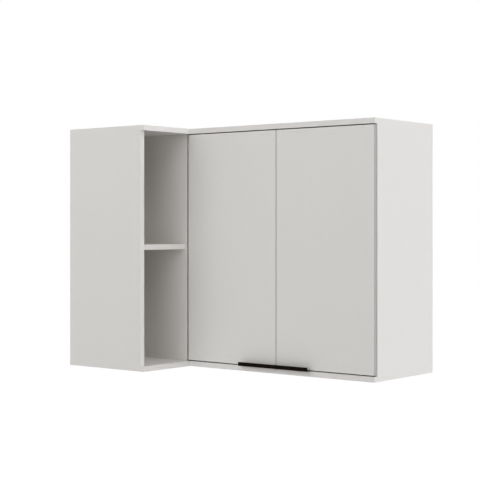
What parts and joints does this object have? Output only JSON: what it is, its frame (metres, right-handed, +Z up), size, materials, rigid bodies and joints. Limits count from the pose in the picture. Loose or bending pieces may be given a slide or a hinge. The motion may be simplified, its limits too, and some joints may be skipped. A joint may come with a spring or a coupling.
{
  "type": "kitchen wall cabinet",
  "caption": "L-shaped corner wall cabinet: a long box with hinged doors and black edge pulls, and a short arm with a closed front and an open side niche with a shelf.",
  "frame": {"origin": "under the middle of the whole outline's bounding box, in the plane of the underside", "axes": "+Z up, +Y towards the wall, +X along the wall to the viewer's right; the doors face -Y and the niche opens to +X"},
  "size_m": [0.944, 0.5, 0.7],
  "materials": {
    "white_board": "satin white melamine on chipboard",
    "front_board": "matt warm-white lacquered fibreboard",
    "edge_band": "light grey PVC edge band",
    "hardboard": "white painted hardboard",
    "softwood": "sanded pine",
    "beech": "fluted beech dowel",
    "white_plastic": "moulded caps",
    "grey_plastic": "moulded",
    "nylon": "black, moulded",
    "zinc_plated_steel": "zinc plated",
    "black_steel": "black phosphated",
    "black_metal": "matt black powder coat"
  },
  "bodies": {
    "cabinet": {"top_panel": "white_board", "bottom_panel": "white_board", "right_side_panel": "white_board", "left_side_panel": "white_board", "arm_front_panel": "front_board", "niche_wall": "white_board", "corner_stile": "white_board", "niche_shelf": "white_board", "inner_shelf": "white_board", "back_panel": "hardboard", "hanging_rail": "softwood", "lower_rail": "softwood", "panel_screws": "zinc_plated_steel", "screw_caps": "white_plastic", "panel_dowels": "beech", "shelf_pins": "zinc_plated_steel", "pivot_plates": "black_steel", "pivot_pins": "black_steel", "plate_screws": "black_steel", "magnet_catches": "grey_plastic", "catch_screws": "zinc_plated_steel"},
    "left_door": {"left_door": "front_board", "left_edge_band": "edge_band", "left_handle": "black_metal", "left_handle_screws": "zinc_plated_steel", "left_door_brackets": "black_steel", "left_bracket_screws": "black_steel", "left_pivot_washers": "nylon", "left_strike_plate": "zinc_plated_steel"},
    "right_door": {"right_door": "front_board", "right_edge_band": "edge_band", "right_handle": "black_metal", "right_handle_screws": "zinc_plated_steel", "right_door_brackets": "black_steel", "right_bracket_screws": "black_steel", "right_pivot_washers": "nylon", "right_strike_plate": "zinc_plated_steel"}
  },
  "joints": [
    {"name": "left_door_swing", "type": "hinge", "parent": "cabinet", "child": "left_door", "pos_m": [-0.1746, -0.0455, 0.35], "axis": [0, 0, -1], "range_deg": [0, 85]},
    {"name": "right_door_swing", "type": "hinge", "parent": "cabinet", "child": "right_door", "pos_m": [0.4656, -0.0455, 0.35], "axis": [0, 0, 1], "range_deg": [0, 105]}
  ]
}
